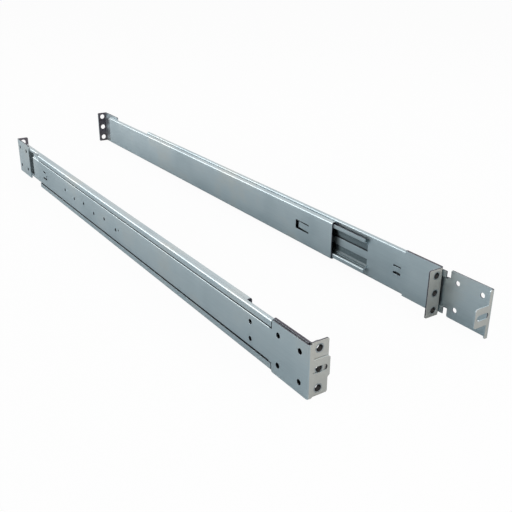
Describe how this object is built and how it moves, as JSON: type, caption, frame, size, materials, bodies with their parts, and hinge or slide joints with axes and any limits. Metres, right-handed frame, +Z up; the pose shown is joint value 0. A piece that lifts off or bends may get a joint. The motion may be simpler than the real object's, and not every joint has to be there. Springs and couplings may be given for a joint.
{
  "type": "rack mounting rails",
  "caption": "Mirror-image sliding rack rails with pull-out inner members, depth-adjusting rear arms and bolted rack flanges.",
  "frame": {"origin": "middle of the pair's footprint, on the surface the rails stand on", "axes": "+X forward out of the rack, +Y towards the left rail as seen from the left rail's chassis side, +Z up"},
  "size_m": [0.7508, 0.1724, 0.0434],
  "materials": {
    "zinc_outer": "bright zinc plate on cold rolled sheet",
    "zinc_guide": "bright zinc plate on cold rolled sheet",
    "zinc_inner": "bright zinc plate on cold rolled sheet",
    "zinc_arm": "bright zinc plate on cold rolled sheet",
    "zinc_bracket": "bright zinc plate on cold rolled sheet",
    "zinc_nut": "zinc plated, turned",
    "steel_rivet": "zinc plated, headed",
    "acetal_block": "moulded"
  },
  "bodies": {
    "outers": {"right_outer_member": "zinc_outer", "right_flange_nuts": "zinc_nut", "right_upper_guide_rail": "zinc_guide", "right_lower_guide_rail": "zinc_guide", "right_guide_rivets": "steel_rivet", "right_depth_stop": "steel_rivet", "left_outer_member": "zinc_outer", "left_flange_nuts": "zinc_nut", "left_upper_guide_rail": "zinc_guide", "left_lower_guide_rail": "zinc_guide", "left_guide_rivets": "steel_rivet", "left_depth_stop": "steel_rivet"},
    "right_inner": {"right_inner_member": "zinc_inner"},
    "right_arm": {"right_extension_arm": "zinc_arm", "right_rear_bracket": "zinc_bracket", "right_slider_blocks": "acetal_block", "right_slider_rivets": "steel_rivet"},
    "left_inner": {"left_inner_member": "zinc_inner"},
    "left_arm": {"left_extension_arm": "zinc_arm", "left_rear_bracket": "zinc_bracket", "left_slider_blocks": "acetal_block", "left_slider_rivets": "steel_rivet"}
  },
  "joints": [
    {"name": "right_pull_out", "type": "slide", "parent": "outers", "child": "right_inner", "axis": [1, 0, 0], "range_m": [0, 0.471]},
    {"name": "left_pull_out", "type": "slide", "parent": "outers", "child": "left_inner", "axis": [1, 0, 0], "range_m": [-0.0486, 0.4224]},
    {"name": "right_depth", "type": "slide", "parent": "outers", "child": "right_arm", "axis": [-1, 0, 0], "range_m": [-0.0378, 0.267]},
    {"name": "left_depth", "type": "slide", "parent": "outers", "child": "left_arm", "axis": [-1, 0, 0], "range_m": [-0.0913, 0.2135]}
  ]
}
